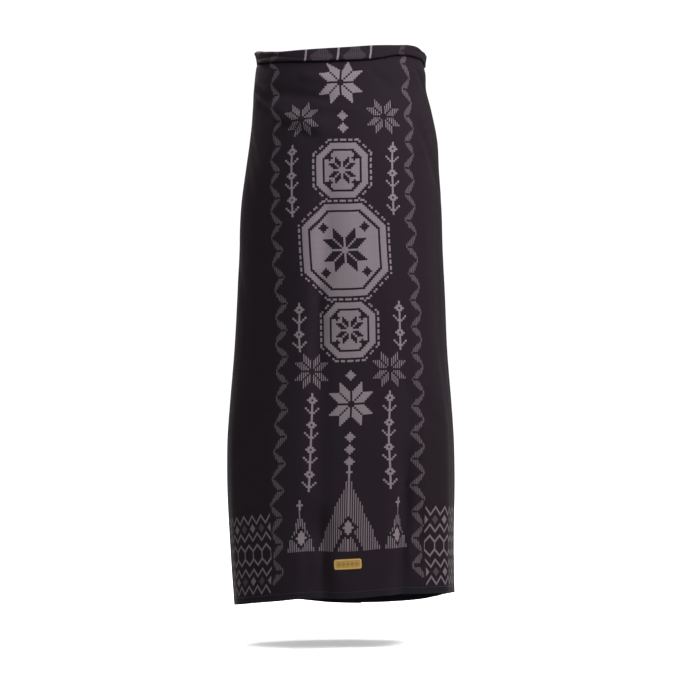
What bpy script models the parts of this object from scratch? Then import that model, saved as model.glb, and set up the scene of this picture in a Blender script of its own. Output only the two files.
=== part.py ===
"""A men's sarong as it is worn: one woven tube of cloth, stepped into and pulled against the back.

The spare width makes a wing at each side. The right wing is folded across the front to the left, the
left wing is folded over it to the right, and the top is rolled down and outwards to hold it all.

Frame: +Z up, the wearer faces +Y, +X is the wearer's right, and the origin is the middle of the waist
opening at the height of the roll. All sizes are in metres.

Round the garment a point has an angle: 0 at the middle of the back, 90 degrees at the wearer's right,
180 at the middle of the front. Its layer counts outwards from 0, the cloth next to the wearer.
"""

import math
from collections import namedtuple

import bmesh
import bpy
import numpy as np

# The cloth
CLOTH_ROUND = 2.14  # round the tube, twice the flat width of 1.07 m
OUTER_EXTRA = 0.04  # the part of it that the outer layers' longer way round takes up
WALL = 0.0012  # thickness of the cloth
LAYER_PITCH = 0.0020  # from one folded layer to the next
SEAM_GAP = 0.0003  # between pieces that touch
ROLL_GAP = 0.0006  # the same at the roll, where both surfaces are faceted

# The folds of the front, as angles round the garment
RIGHT_FOLD = math.radians(96)  # where the right wing leaves the layer next to the wearer
LEFT_FOLD = math.radians(264)
RIGHT_RAMP = (math.radians(66), math.radians(92))  # the back climbs here onto the folded layers
LEFT_RAMP = (math.radians(268), math.radians(300))
FULL_STACK_SPAN = 0.050  # with less cloth than this beyond the right wing's edge, the left wing can't drop
TIP_MARGIN = 0.020  # least distance from a wing's edge to the fold of the other wing

# The mesh
BACK_STEPS = 15  # from the middle of the back to a side fold
ZONE_STEPS = (6, 9, 7)  # right fold to left wing's edge, to right wing's edge, to left fold
TURN_STEPS = 4  # round a folded edge
DENSE = 1440  # samples round the garment where lengths are measured
ROLL_STEPS = 96
ROLL_CORNERS = 14

# The rolled waist
ROLL_COVER = 0.0030  # the wall's top ends this far below the roll's top
ROLL_SQUARENESS = 2.7
GROOVE_HEIGHT = 0.05  # where the outermost turn of the roll shows its edge, as a share of the half height
GROOVE_WIDTH = 0.22
ROLL_RISE = (math.radians(62), math.radians(108))  # the roll climbs here onto the folded layers
ROLL_FALL = (math.radians(269), math.radians(308))

# The sewn label on the back, near the hem
LABEL_WIDTH = 0.0462
LABEL_HEIGHT = 0.0172
LABEL_CORNER = 0.0036
LABEL_THICK = 0.0008
LABEL_MIDDLE = (0.0086, -0.8697)  # from the middle of the back to the right, and its height
LABEL_TILT = 0.048  # its right end is higher, as the hem is there
LABEL_CORNER_STEPS = 3
LABEL_FLAT_STEPS = 6
LABEL_ROWS = 4

Section = namedtuple("Section", "height half_width centre_x back_depth front_depth squareness wing_share")
SECTIONS = (  # the cloth's outline at several heights; wing_share is the left wing's part of the spare width
    Section(0.040, 0.1382, 0.0008, 0.0985, 0.1000, 2.10, 0.500),
    Section(-0.006, 0.1382, 0.0008, 0.0985, 0.1000, 2.10, 0.500),
    Section(-0.016, 0.1432, -0.0007, 0.1015, 0.1025, 2.10, 0.501),
    Section(-0.027, 0.1465, -0.0009, 0.1045, 0.1050, 2.10, 0.503),
    Section(-0.057, 0.1495, -0.0024, 0.1110, 0.1085, 2.10, 0.505),
    Section(-0.092, 0.1548, 0.0009, 0.1180, 0.1120, 2.10, 0.508),
    Section(-0.150, 0.1632, 0.0037, 0.1275, 0.1170, 2.12, 0.512),
    Section(-0.196, 0.1676, 0.0016, 0.1330, 0.1200, 2.15, 0.515),
    Section(-0.255, 0.1735, -0.0003, 0.1370, 0.1230, 2.17, 0.519),
    Section(-0.335, 0.1765, -0.0012, 0.1390, 0.1260, 2.20, 0.524),
    Section(-0.420, 0.1802, -0.0007, 0.1386, 0.1290, 2.24, 0.528),
    Section(-0.508, 0.1845, -0.0012, 0.1370, 0.1320, 2.30, 0.532),
    Section(-0.600, 0.1920, -0.0011, 0.1368, 0.1350, 2.36, 0.535),
    Section(-0.660, 0.1963, -0.0011, 0.1370, 0.1370, 2.41, 0.537),
    Section(-0.717, 0.1973, -0.0006, 0.1370, 0.1390, 2.45, 0.538),
    Section(-0.855, 0.1938, 0.0019, 0.1370, 0.1440, 2.55, 0.540),
    Section(-0.980, 0.1904, 0.0074, 0.1370, 0.1490, 2.60, 0.540),
)

Hem = namedtuple("Hem", "angle height")
HEM = (  # the lower edge all round, angles in degrees: higher at the wearer's right, lowest at the front
    Hem(0, -0.9283),
    Hem(15, -0.9238),
    Hem(32, -0.9222),
    Hem(60, -0.9228),
    Hem(90, -0.9290),
    Hem(115, -0.9385),
    Hem(140, -0.9505),
    Hem(165, -0.9562),
    Hem(182, -0.9565),
    Hem(200, -0.9518),
    Hem(225, -0.9500),
    Hem(248, -0.9512),
    Hem(270, -0.9496),
    Hem(290, -0.9450),
    Hem(310, -0.9392),
    Hem(330, -0.9335),
    Hem(345, -0.9285),
)

Fold = namedtuple("Fold", "name top_angle low_angle top low half_width depth")
FOLDS = (  # soft vertical folds: angles in degrees, heights, half width along the cloth, depth outwards
    Fold("trough left of the back's middle", -8.0, -7.0, -0.110, -1.020, 0.016, -0.0045),
    Fold("ridge beside it", -15.0, -15.5, -0.240, -1.020, 0.020, 0.0030),
    Fold("slack under the left hip", -50.0, -47.0, -0.160, -0.800, 0.026, -0.0050),
    Fold("left corner of the hem", -66.0, -66.0, -0.500, -1.100, 0.030, 0.0050),
    Fold("slack at the right thigh", 33.0, 28.0, -0.500, -1.120, 0.036, -0.0080),
    Fold("right corner of the hem", 64.0, 58.0, -0.480, -1.120, 0.036, 0.0075),
    Fold("trough right of the back's middle", 14.0, 9.0, -0.420, -1.020, 0.020, -0.0020),
    Fold("front hollow between the knees", 172.0, 180.0, -0.300, -1.020, 0.040, -0.0065),
    Fold("front ridge of the right thigh", 140.0, 138.0, -0.120, -0.900, 0.040, 0.0045),
    Fold("front ridge of the left thigh", 221.0, 224.0, -0.120, -0.900, 0.040, 0.0050),
    Fold("front slack by the left hip", 240.0, 246.0, -0.060, -0.700, 0.024, -0.0045),
)

Station = namedtuple("Station", "angle middle half_height half_thickness lean groove")
ROLL = (  # the roll round the waist: angle in degrees, height of its middle; lean makes its top thicker
    Station(0, -0.0043, 0.0114, 0.0031, -0.20, 0.0003),
    Station(22, -0.0005, 0.0116, 0.0029, -0.25, 0.0002),
    Station(45, 0.0051, 0.0085, 0.0027, -0.25, 0.0002),
    Station(58, 0.0060, 0.0092, 0.0027, -0.25, 0.0002),
    Station(70, 0.0049, 0.0093, 0.0028, -0.15, 0.0003),
    Station(82, 0.0015, 0.0085, 0.0032, 0.15, 0.0003),
    Station(92, -0.0015, 0.0090, 0.0034, 0.40, 0.0004),
    Station(106, -0.0047, 0.0123, 0.0045, 0.30, 0.0006),
    Station(130, -0.0030, 0.0190, 0.0075, 0.0, 0.0008),
    Station(180, -0.0020, 0.0205, 0.0095, 0.0, 0.0010),
    Station(230, -0.0030, 0.0180, 0.0080, 0.0, 0.0010),
    Station(270, -0.0018, 0.0120, 0.0045, 0.8, 0.0006),
    Station(290, -0.0040, 0.0100, 0.0037, 0.3, 0.0008),
    Station(310, -0.0057, 0.0088, 0.0033, 0.0, 0.0008),
    Station(335, -0.0061, 0.0105, 0.0032, -0.10, 0.0006),
)

# From the hem to the top, as shares of the height at each place round the garment
ROW_SHARES = (
    0.0, 0.016, 0.06, 0.125, 0.19, 0.26, 0.33, 0.40, 0.475, 0.55,
    0.62, 0.69, 0.755, 0.815, 0.87, 0.915, 0.945, 0.962, 0.972, 0.981, 0.989, 1.0,
)

Material = namedtuple("Material", "name colour roughness")
CLOTH_MATERIAL = Material("black_cloth", (0.012, 0.009, 0.011, 1.0), 0.85)
ROLL_MATERIAL = Material("black_cloth_rolled", (0.014, 0.011, 0.013, 1.0), 0.85)
LABEL_MATERIAL = Material("gold_label", (0.36, 0.22, 0.06, 1.0), 0.45)

Ring = namedtuple("Ring", "angle height point normal length")


def ease(share):
    """0 below 0, 1 above 1, and smooth in between."""
    share = np.clip(share, 0.0, 1.0)
    return share * share * (3.0 - 2.0 * share)


def ramp(value, limits):
    return ease((value - limits[0]) / (limits[1] - limits[0]))


def through(knots, values, at):
    """A smooth curve through the knots, which rise, read at each place in at."""
    knots, values, at = (np.asarray(a, float) for a in (knots, values, at))
    slopes = np.gradient(values, knots)
    at = np.clip(at, knots[0], knots[-1])
    i = np.clip(np.searchsorted(knots, at) - 1, 0, len(knots) - 2)
    step = knots[i + 1] - knots[i]
    t = (at - knots[i]) / step
    return (
        values[i] * (1 + 2 * t) * (1 - t) ** 2
        + values[i + 1] * t * t * (3 - 2 * t)
        + step * slopes[i] * t * (1 - t) ** 2
        - step * slopes[i + 1] * t * t * (1 - t)
    )


def section_size(name, height):
    """One column of SECTIONS, read at these heights."""
    rising = SECTIONS[::-1]
    return through([s.height for s in rising], [getattr(s, name) for s in rising], height)


def round_size(table, name, angle):
    """One column of a table whose rows go round the garment, read at these angles."""
    around = [row._replace(angle=row.angle - 360) for row in table[-2:]] + list(table)
    around += [row._replace(angle=row.angle + 360) for row in table[:2]]
    degrees = np.degrees(angle) % 360.0
    return through([row.angle for row in around], [getattr(row, name) for row in around], degrees)


def roll_size(name, angle):
    return round_size(ROLL, name, angle)


def fold_depth(angle, height, half_width):
    """How far the soft folds move the cloth outwards."""
    moved = np.zeros_like(angle)
    for fold in FOLDS:
        share = np.clip((fold.top - height) / (fold.top - fold.low), 0.0, 1.0)
        middle = np.radians(fold.top_angle + (fold.low_angle - fold.top_angle) * share)
        away = (angle - middle + math.pi) % (2 * math.pi) - math.pi
        fades = ease((fold.top - height) / 0.16) * ease((height - fold.low) / 0.16)
        moved += fold.depth * fades * np.exp(-((away * half_width / fold.half_width) ** 2))
    return moved


def rounded(value, squareness):
    return np.sign(value) * np.abs(value) ** (2.0 / squareness)


def innermost(angle, height):
    """The layer next to the wearer, seen from above, before the soft folds."""
    half_width = section_size("half_width", height) - WALL / 2 - 2.0 * LAYER_PITCH
    back = section_size("back_depth", height) - WALL / 2
    front = section_size("front_depth", height) - WALL / 2 - 4.0 * LAYER_PITCH
    squareness = section_size("squareness", height)
    # The side seen from the back carries fewer layers, so the section is a little wider there.
    half_width = half_width + 0.5 * LAYER_PITCH * np.maximum(np.cos(angle), 0.0) ** 0.5
    x = section_size("centre_x", height) + half_width * rounded(np.sin(angle), squareness)
    depth = np.where(np.cos(angle) > 0, back, front)
    y = -depth * rounded(np.cos(angle), squareness)
    return np.stack([x, y], axis=-1)


def outward(points):
    """Unit normals of a closed line that runs anticlockwise seen from above, pointing out."""
    along = np.roll(points, -1, axis=0) - np.roll(points, 1, axis=0)
    along /= np.linalg.norm(along, axis=1, keepdims=True)
    return np.stack([along[:, 1], -along[:, 0]], axis=-1)


def wall_height(share, angle):
    """Height of the row at this share of the way from the hem to the top."""
    low = round_size(HEM, "height", angle)
    top = roll_size("middle", angle) + roll_size("half_height", angle) - ROLL_COVER
    return low + share * (top - low)


def ring_at(height_of):
    """The innermost layer measured all round, at the height that height_of gives for each angle."""
    angle = np.linspace(0.0, 2 * math.pi, DENSE, endpoint=False)
    height = height_of(angle)
    plain = innermost(angle, height)
    normal = outward(plain)
    around = section_size("half_width", height)
    point = plain + normal * fold_depth(angle, height, around)[:, None]
    normal = outward(point)
    step = np.linalg.norm(np.roll(point, -1, axis=0) - point, axis=1)
    closed = [np.append(a, a[:1], axis=0) for a in (height, point, normal)]
    return Ring(np.append(angle, 2 * math.pi), *closed, np.append(0.0, np.cumsum(step)))


def on_ring(ring, angle, lift, shift=0.0):
    """Points at these angles, moved outwards by lift and along the ring by shift."""
    def read(values):
        return np.stack([np.interp(angle, ring.angle, v) for v in values.T], axis=-1)

    normal = read(ring.normal)
    normal /= np.linalg.norm(normal, axis=1, keepdims=True)
    along = np.stack([-normal[:, 1], normal[:, 0]], axis=-1)
    flat = read(ring.point) + normal * np.reshape(lift, (-1, 1)) + along * np.reshape(shift, (-1, 1))
    return np.column_stack([flat, np.interp(angle, ring.angle, ring.height)])


def wing_edges(ring):
    """Angles of the left and the right wing's free edge, from the spare width at this height."""
    right_start = np.interp(RIGHT_FOLD, ring.angle, ring.length)
    front = np.interp(LEFT_FOLD, ring.angle, ring.length) - right_start
    spare = (CLOTH_ROUND - OUTER_EXTRA - ring.length[-1]) / 2.0
    share = np.mean(section_size("wing_share", ring.height))
    left_wing = min(spare * share, front - TIP_MARGIN)
    right_wing = min(spare - left_wing, front - TIP_MARGIN)
    ends = right_start + np.array([front - left_wing, right_wing])
    left_edge, right_edge = np.interp(ends, ring.length, ring.angle)
    slack = (front - right_wing) / FULL_STACK_SPAN
    return left_edge, right_edge, 1.0 - float(ease(slack))


def turn(angle, start, end, way):
    """Angles, layers and shifts round a folded edge, from layer start to layer end, bulging along way."""
    across = np.linspace(0.0, math.pi, TURN_STEPS + 2)[1:-1]
    middle, radius = (start + end) / 2.0, (end - start) / 2.0
    layers = middle - radius * np.cos(across)
    shifts = way * abs(radius) * LAYER_PITCH * np.sin(across)
    return np.full(TURN_STEPS, angle), layers, shifts


def flat_run(angles, layers):
    angles = np.asarray(angles, float)
    return angles, np.broadcast_to(np.asarray(layers, float), angles.shape), np.zeros(angles.shape)


def cloth_path(ring):
    """The whole way round the tube at one height: angles, layers and shifts of its points."""
    left_edge, right_edge, stacked = wing_edges(ring)
    zones = (RIGHT_FOLD, left_edge, right_edge, LEFT_FOLD)
    parts = [np.linspace(a, b, n + 1) for a, b, n in zip(zones[:-1], zones[1:], ZONE_STEPS)]
    under_left = np.concatenate([parts[0], parts[1][1:]])
    over_right = np.concatenate([parts[1], parts[2][1:]])
    across = np.concatenate([parts[0], parts[1][1:], parts[2][1:]])
    right_back = np.linspace(0.0, RIGHT_FOLD, BACK_STEPS + 1)[:-1]
    left_back = np.linspace(LEFT_FOLD, 2 * math.pi, BACK_STEPS + 1)[1:-1]
    drop = 2.0 * (1.0 - stacked) * ramp(over_right, (right_edge, LEFT_FOLD))
    side = 2.0 + 2.0 * stacked
    runs = (
        flat_run(right_back, 2.0 * ramp(right_back, RIGHT_RAMP)),
        flat_run(under_left, 2.0),
        turn(right_edge, 2.0, 1.0, 1.0),
        flat_run(under_left[::-1], 1.0),
        turn(RIGHT_FOLD, 1.0, 0.0, -1.0),
        flat_run(across, 0.0),
        turn(LEFT_FOLD, 0.0, side - 1.0, 1.0),
        flat_run(over_right[::-1], (3.0 - drop)[::-1]),
        turn(left_edge, 3.0, 4.0, -1.0),
        flat_run(over_right, 4.0 - drop),
        flat_run(left_back, side * (1.0 - ramp(left_back, LEFT_RAMP))),
    )
    return (np.concatenate(column) for column in zip(*runs))


def mesh_object(name, rows, material, wrap_columns, wrap_rows=False):
    """An object whose faces join neighbouring points of a grid of rows."""
    mesh = bpy.data.meshes.new(name)
    bm = bmesh.new()
    grid = [[bm.verts.new(point) for point in row] for row in rows]
    row_count, column_count = len(grid), len(grid[0])
    for i in range(row_count if wrap_rows else row_count - 1):
        above = grid[(i + 1) % row_count]
        for j in range(column_count if wrap_columns else column_count - 1):
            k = (j + 1) % column_count
            bm.faces.new((grid[i][j], grid[i][k], above[k], above[j]))
    bm.to_mesh(mesh)
    bm.free()
    mesh.shade_smooth()
    mesh.materials.append(material)
    obj = bpy.data.objects.new(name, mesh)
    COLLECTION.objects.link(obj)
    return obj


def thicken(obj, thickness):
    """Makes the open surface a wall, half of it to each side."""
    solidify = obj.modifiers.new("wall", "SOLIDIFY")
    solidify.thickness = thickness
    solidify.offset = 0.0
    solidify.use_rim = True


def make_cloth(material):
    """The whole tube, from the hem to the inside of the roll, with both folded wings."""
    rows = []
    for share in ROW_SHARES:
        ring = ring_at(lambda angle, share=share: wall_height(share, angle))
        angles, layers, shifts = cloth_path(ring)
        rows.append(on_ring(ring, angles, layers * LAYER_PITCH, shifts))
    thicken(mesh_object("cloth_tube", rows, material, wrap_columns=True), WALL)


def make_roll(material):
    """The rolled waist: a rounded ring outside the wall, its inner side on the wall at every height."""
    angle = np.linspace(0.0, 2 * math.pi, ROLL_STEPS, endpoint=False)
    layers = 4.0 * ramp(angle, ROLL_RISE) * (1.0 - ramp(angle, ROLL_FALL))
    middle, half_height, half_thick, lean, groove = (roll_size(n, angle) for n in Station._fields[1:])
    rows = []
    for corner in range(ROLL_CORNERS):
        turned = 2 * math.pi * (corner + 0.5) / ROLL_CORNERS
        level = float(rounded(np.sin(turned), ROLL_SQUARENESS))
        out = 1.0 + float(rounded(np.cos(turned), ROLL_SQUARENESS))
        cut = math.exp(-(((level - GROOVE_HEIGHT) / GROOVE_WIDTH) ** 2)) * (out > 1.0)
        depth = half_thick * out * (1.0 + lean * level) - groove * cut
        height = middle + half_height * level
        ring = ring_at(lambda a, h=height: np.interp(a, angle, h, period=2 * math.pi))
        lift = layers * LAYER_PITCH + WALL / 2 + ROLL_GAP + depth
        rows.append(on_ring(ring, angle, lift))
    mesh_object("waist_roll", rows, material, wrap_columns=True, wrap_rows=True)


def make_label(material):
    """The label, made from the back's own points and moved out by the gap."""
    straight = LABEL_WIDTH / 2 - LABEL_CORNER
    bends = np.linspace(0.0, math.pi / 2, LABEL_CORNER_STEPS + 1)
    right = [(straight + LABEL_CORNER * math.sin(a), LABEL_CORNER * (1 - math.cos(a))) for a in bends]
    middle = [(x, 0.0) for x in np.linspace(-straight, straight, LABEL_FLAT_STEPS + 1)[1:-1]]
    # The corner's last point lies on the label's side, so its height never closes to nothing.
    columns = [(-x, cut) for x, cut in reversed(right)] + middle + right
    lift = WALL / 2 + SEAM_GAP + LABEL_THICK / 2
    rows = []
    for level in np.linspace(-1.0, 1.0, LABEL_ROWS + 1):
        row = []
        for across, cut in columns:
            height = LABEL_MIDDLE[1] + level * (LABEL_HEIGHT / 2 - cut) + LABEL_TILT * across
            ring = ring_at(lambda a, h=height: np.full_like(a, h))
            along = (LABEL_MIDDLE[0] + across) % ring.length[-1]
            angle = np.interp(along, ring.length, ring.angle)
            row.append(on_ring(ring, np.array([angle]), lift)[0])
        rows.append(row)
    thicken(mesh_object("label", rows, material, wrap_columns=False), LABEL_THICK)


def make_material(made):
    material = bpy.data.materials.new(made.name)
    material.use_nodes = True
    shader = material.node_tree.nodes["Principled BSDF"]
    shader.inputs["Base Color"].default_value = made.colour
    shader.inputs["Roughness"].default_value = made.roughness
    shader.inputs["Metallic"].default_value = 0.0
    return material


for old in list(bpy.data.objects):
    bpy.data.objects.remove(old, do_unlink=True)
COLLECTION = bpy.data.collections.new("worn_sarong")
bpy.context.scene.collection.children.link(COLLECTION)
make_cloth(make_material(CLOTH_MATERIAL))
make_roll(make_material(ROLL_MATERIAL))
make_label(make_material(LABEL_MATERIAL))
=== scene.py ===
"""Dresses the worn sarong: the whole tube of cloth in fine mesh, rolled at the waist, with its woven pattern.

Frame: +Z up, the wearer faces +Y, +X is the wearer's right, metres. Round the garment a point has an angle:
0 at the middle of the back, 90 degrees at the wearer's right, 180 at the middle of the front.
On the cloth a point has u, the distance round from the middle of the back, and v, the height above the hem.
"""

import functools
from collections import namedtuple
from math import cos, pi, radians, sin

import bmesh
import bpy
import mathutils
import numpy as np
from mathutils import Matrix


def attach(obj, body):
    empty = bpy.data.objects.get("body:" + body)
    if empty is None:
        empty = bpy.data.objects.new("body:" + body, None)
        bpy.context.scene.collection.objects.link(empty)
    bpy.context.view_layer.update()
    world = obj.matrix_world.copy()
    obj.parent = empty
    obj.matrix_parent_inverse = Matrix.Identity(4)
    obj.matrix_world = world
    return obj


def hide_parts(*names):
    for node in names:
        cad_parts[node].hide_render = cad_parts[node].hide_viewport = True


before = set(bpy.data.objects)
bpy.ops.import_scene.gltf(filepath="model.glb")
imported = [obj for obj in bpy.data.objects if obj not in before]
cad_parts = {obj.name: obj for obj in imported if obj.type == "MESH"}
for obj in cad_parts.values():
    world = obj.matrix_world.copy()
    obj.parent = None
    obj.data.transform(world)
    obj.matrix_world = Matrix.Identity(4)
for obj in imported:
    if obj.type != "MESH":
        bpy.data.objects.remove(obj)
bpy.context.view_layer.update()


def table(columns, *rows):
    """Rows of values, with names for their columns."""
    row = namedtuple("Row", columns)
    return [row(*values) for values in rows]


# ---- sizes, the same as the solids'
CLOTH_ROUND = 2.14  # round the whole tube
OUTER_EXTRA = 0.04  # the part of it that the outer layers' longer way round takes up
WALL = 0.0012  # thickness of the cloth
LAYER_PITCH = 0.002  # from one folded layer to the next
SEAM_GAP = 0.0003  # between pieces that touch
ROLL_GAP = 0.0006  # the same at the roll
RIGHT_FOLD, LEFT_FOLD = np.radians((96, 264))  # where each wing leaves the layer next to the wearer
RIGHT_RAMP = np.radians((66, 92))  # the back climbs here onto the folded layers
LEFT_RAMP = np.radians((268, 300))
FULL_STACK_SPAN = 0.05  # with less cloth than this past the right wing's edge, the left wing can't drop fully
TIP_MARGIN = 0.02  # least distance from a wing's edge to the fold of the other wing
DENSE = 1440  # samples round the garment where lengths are measured
ROLL_SQUARENESS = 2.7
ROLL_RISE = np.radians((62, 108))  # the roll climbs here onto the folded layers
ROLL_FALL = np.radians((269, 308))

# The cloth's outline at several heights; wing_share is the left wing's part of the spare width
SECTIONS = table(
    "height half_width centre_x back_depth front_depth squareness wing_share",
    (0.04, 0.1382, 0.0008, 0.0985, 0.1, 2.1, 0.5),
    (-0.006, 0.1382, 0.0008, 0.0985, 0.1, 2.1, 0.5),
    (-0.016, 0.1432, -0.0007, 0.1015, 0.1025, 2.1, 0.501),
    (-0.027, 0.1465, -0.0009, 0.1045, 0.105, 2.1, 0.503),
    (-0.057, 0.1495, -0.0024, 0.111, 0.1085, 2.1, 0.505),
    (-0.092, 0.1548, 0.0009, 0.118, 0.112, 2.1, 0.508),
    (-0.15, 0.1632, 0.0037, 0.1275, 0.117, 2.12, 0.512),
    (-0.196, 0.1676, 0.0016, 0.133, 0.12, 2.15, 0.515),
    (-0.255, 0.1735, -0.0003, 0.137, 0.123, 2.17, 0.519),
    (-0.335, 0.1765, -0.0012, 0.139, 0.126, 2.2, 0.524),
    (-0.42, 0.1802, -0.0007, 0.1386, 0.129, 2.24, 0.528),
    (-0.508, 0.1845, -0.0012, 0.137, 0.132, 2.3, 0.532),
    (-0.6, 0.192, -0.0011, 0.1368, 0.135, 2.36, 0.535),
    (-0.66, 0.1963, -0.0011, 0.137, 0.137, 2.41, 0.537),
    (-0.717, 0.1973, -0.0006, 0.137, 0.139, 2.45, 0.538),
    (-0.855, 0.1938, 0.0019, 0.137, 0.144, 2.55, 0.54),
    (-0.98, 0.1904, 0.0074, 0.137, 0.149, 2.6, 0.54),
)

HEM = table(  # the lower edge all round
    "angle height",
    (0, -0.9283), (15, -0.9238), (32, -0.9222), (60, -0.9228), (90, -0.929), (115, -0.9385),
    (140, -0.9505), (165, -0.9562), (182, -0.9565), (200, -0.9518), (225, -0.95), (248, -0.9512),
    (270, -0.9496), (290, -0.945), (310, -0.9392), (330, -0.9335), (345, -0.9285),
)

FOLDS = table(  # soft upright folds; half width along the cloth, depth outwards
    "top_angle low_angle top low half_width depth",
    (-8, -7, -0.11, -1.02, 0.016, -0.0045), (-15, -15.5, -0.24, -1.02, 0.02, 0.003),
    (-50, -47, -0.16, -0.8, 0.026, -0.005), (-66, -66, -0.5, -1.1, 0.03, 0.005),
    (33, 28, -0.5, -1.12, 0.036, -0.008), (64, 58, -0.48, -1.12, 0.036, 0.0075),
    (14, 9, -0.42, -1.02, 0.02, -0.002),
    # in front: a hollow down the middle, a soft ridge on each side of it, slack at the left
    (172, 180, -0.3, -1.02, 0.04, -0.0065), (140, 138, -0.12, -0.9, 0.04, 0.0045),
    (221, 224, -0.12, -0.9, 0.04, 0.005), (240, 246, -0.06, -0.7, 0.024, -0.0045),
)

ROLL = table(  # the roll round the waist; lean makes its top thicker
    "angle middle half_height half_thickness lean",
    (0, -0.0043, 0.0114, 0.0031, -0.2), (22, -0.0005, 0.0116, 0.0029, -0.25),
    (45, 0.0051, 0.0085, 0.0027, -0.25), (58, 0.006, 0.0092, 0.0027, -0.25),
    (70, 0.0049, 0.0093, 0.0028, -0.15), (82, 0.0015, 0.0085, 0.0032, 0.15),
    (92, -0.0015, 0.009, 0.0034, 0.4), (106, -0.0047, 0.0123, 0.0045, 0.3),
    (130, -0.003, 0.019, 0.0075, 0.0), (180, -0.002, 0.0205, 0.0095, 0.0),
    (230, -0.003, 0.018, 0.008, 0.0), (270, -0.0018, 0.012, 0.0045, 0.8),
    (290, -0.004, 0.01, 0.0037, 0.3), (310, -0.0057, 0.0088, 0.0033, 0.0),
    (335, -0.0061, 0.0105, 0.0032, -0.1),
)

# ---- finer form, only in the dressed cloth
FOLD_FADE = 0.16  # the large folds come and go over this height
CREASE_RADIUS = 0.165  # a crease's angles are turned to distances with this
CREASE_UNEVEN = 0.25  # its width changes along it by this share
CREASE_WAVES = 61.0  # and as often as this, in radians for a metre
CREASES = table(  # soft lines across the cloth, from one end to the other; under 0 they sink
    "angle height end_angle end_height half_width depth",
    (-26, -0.041, -2, -0.05, 0.0085, 0.0036), (-52, -0.068, -4, -0.084, 0.01, -0.0044),
    (-50, -0.096, -4, -0.137, 0.016, 0.0066), (-47, -0.121, -14, -0.15, 0.007, -0.0032),
    (-40, -0.082, -26, -0.094, 0.0055, 0.0018), (-16, -0.094, 12, -0.104, 0.0065, 0.002),
    (-80, -0.047, -53, -0.073, 0.0055, 0.003), (-78, -0.06, -55, -0.087, 0.0048, -0.0027),
    (-76, -0.074, -50, -0.101, 0.0055, 0.0024), (-70, -0.088, -46, -0.122, 0.007, -0.0024),
    (18, -0.028, 40, -0.07, 0.006, -0.0018), (58, -0.112, 82, -0.1, 0.0045, 0.0021),
    (60, -0.134, 82, -0.121, 0.0045, 0.0019), (50, -0.171, 78, -0.156, 0.005, 0.0015),
    (64, -0.024, 84, -0.062, 0.0055, -0.0027), (52, -0.12, 86, -0.25, 0.011, -0.0024),
    (-88, -0.12, -62, -0.19, 0.008, -0.0027), (-80, -0.18, -44, -0.33, 0.013, -0.0022),
    (-88, -0.33, -56, -0.47, 0.016, -0.002), (30, -0.56, 62, -0.66, 0.016, -0.0016),
    (-6.5, -0.79, -5.4, -1.0, 0.0085, -0.009), (-13.5, -0.77, -12.5, -1.0, 0.012, -0.0055),
    (-10.5, -0.39, -10.0, -0.57, 0.009, -0.007), (33, -0.69, 24, -1.0, 0.012, -0.0105),
    (42, -0.78, 38, -0.88, 0.009, -0.0055), (-34, -0.6, -70, -0.72, 0.018, -0.0018),
    (99, -0.03, 150, -0.17, 0.007, -0.003), (101, -0.048, 156, -0.2, 0.008, 0.0028),
    (104, -0.072, 162, -0.24, 0.009, -0.0026), (118, -0.028, 170, -0.12, 0.006, 0.0022),
    (132, -0.026, 186, -0.105, 0.006, -0.0022), (262, -0.035, 205, -0.19, 0.008, -0.003),
    (260, -0.055, 200, -0.225, 0.008, 0.0028), (256, -0.085, 206, -0.275, 0.01, -0.0026),
    (240, -0.028, 192, -0.11, 0.006, 0.0022), (228, -0.026, 178, -0.09, 0.006, -0.002),
    (96, -0.26, 150, -0.4, 0.015, -0.0024), (150, -0.42, 190, -0.56, 0.017, -0.0028),
    (262, -0.3, 214, -0.42, 0.015, -0.0022), (232, -0.52, 200, -0.64, 0.018, 0.0024),
    (124, -0.56, 160, -0.68, 0.018, -0.0024),
)

WAVES = table(  # waves round the garment, depth, and how they lean and bend with the height
    "count depth lean bend",
    (9, 0.0011, 1.4, 5.0), (14, 0.0009, -2.1, 7.0), (22, 0.0006, 3.0, 9.0), (33, 0.00035, -4.0, 13.0),
)

# The free edges of the front wings hang a little lower than the layers under them.
LEFT_WING_DROOP = 0.004
RIGHT_WING_DROOP = 0.0025
DROOP_SPAN = 0.2

HEM_BAND = 0.012  # the foot is turned up and sewn this high
HEM_THICK = 0.0014
HEM_EASE = 0.0036  # over this height it thins to the plain wall
CLOTH_HEIGHT = 0.93  # roughly, from the hem to the roll

# Steps of the mesh
BACK_STEPS = 50
VISIBLE_WING_STEPS = 42
HIDDEN_WING_STEPS = 18
BASE_STEPS = 14
TURN_STEPS = 6
OUTER_START = BASE_STEPS + 2 * TURN_STEPS + HIDDEN_WING_STEPS + 2  # the outer layer begins at this column
BACK_MIDDLE = OUTER_START + VISIBLE_WING_STEPS + BACK_STEPS  # the column at the middle of the back
HEM_ROWS = (0.0, 0.0006, 0.003, 0.0075, 0.0112, 0.0122, 0.0132, 0.0165)  # heights of the foot's rows
LOW_START = 0.0215  # the even rows start at this height
LOW_ROWS = 76
HIGH_START = 0.765  # from this share of the way up they are closer, for the finer creases
HIGH_ROWS = 48
ROLL_ROWS = 40

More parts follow.
